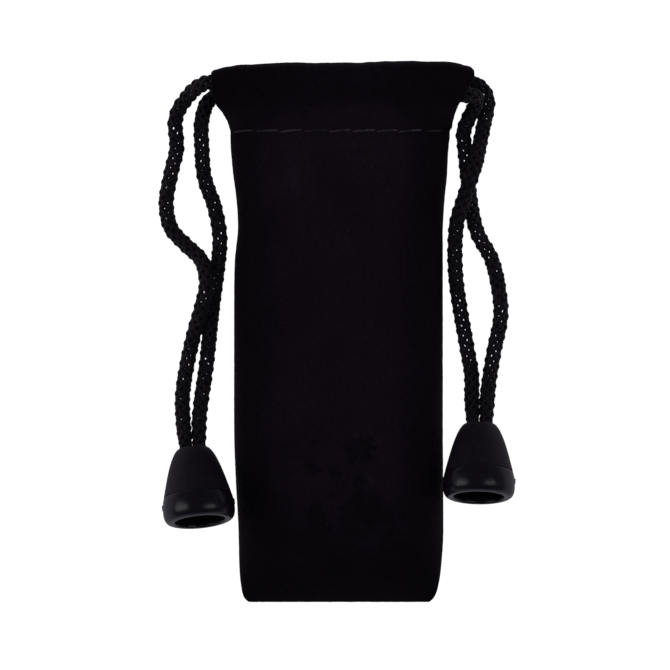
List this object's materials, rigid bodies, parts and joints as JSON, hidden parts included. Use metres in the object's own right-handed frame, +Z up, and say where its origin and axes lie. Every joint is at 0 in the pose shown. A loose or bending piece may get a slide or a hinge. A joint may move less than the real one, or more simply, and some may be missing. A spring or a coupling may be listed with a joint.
{
  "type": "soft pouch glasses case",
  "caption": "Flat drawstring pouch of soft velvet for glasses, with a cord casing at its mouth and two opposed drawcords, each ending in a bell-shaped cord end.",
  "frame": {"origin": "on the table under the middle of the pouch, which lies flat on its back", "axes": "+X to the pouch's right seen from above with the mouth at the top, +Y from the bottom seam towards the mouth, +Z up from the table out of the front panel"},
  "size_m": [0.1188, 0.18, 0.0243],
  "materials": {
    "velvet": "short black velvet pile with a faint purple sheen",
    "thread": "twisted grey-lilac sewing thread",
    "cord": "open braid of black filament yarn, slightly glossy",
    "bell": "satin moulded black plastic",
    "ring": "satin moulded black plastic, glossier than the bell"
  },
  "bodies": {
    "pouch": {"front_panel": "velvet", "back_panel": "velvet", "front_casing": "velvet", "back_casing": "velvet", "front_casing_stitching": "thread", "back_casing_stitching": "thread", "left_side_seam": "velvet", "right_side_seam": "velvet", "bottom_seam": "velvet"},
    "left_cord": {"left_drawcord": "cord", "left_knot": "cord"},
    "right_cord": {"right_drawcord": "cord", "right_knot": "cord"},
    "left_cord_end": {"left_bell": "bell", "left_snap_ring": "ring"},
    "right_cord_end": {"right_bell": "bell", "right_snap_ring": "ring"}
  },
  "joints": [
    {"name": "left_cord_pull", "type": "slide", "parent": "pouch", "child": "left_cord", "axis": [-1, 0, 0], "range_m": [0, 0.02], "deforming": ["front_casing", "back_casing"]},
    {"name": "right_cord_pull", "type": "slide", "parent": "pouch", "child": "right_cord", "axis": [1, 0, 0], "range_m": [0, 0.02], "deforming": ["front_casing", "back_casing"]},
    {"name": "left_bell_slide", "type": "slide", "parent": "left_cord", "child": "left_cord_end", "axis": [0, 1, 0], "range_m": [0, 0.01], "deforming": ["left_drawcord"]},
    {"name": "right_bell_slide", "type": "slide", "parent": "right_cord", "child": "right_cord_end", "axis": [0, 1, 0], "range_m": [0, 0.01], "deforming": ["right_drawcord"]}
  ]
}
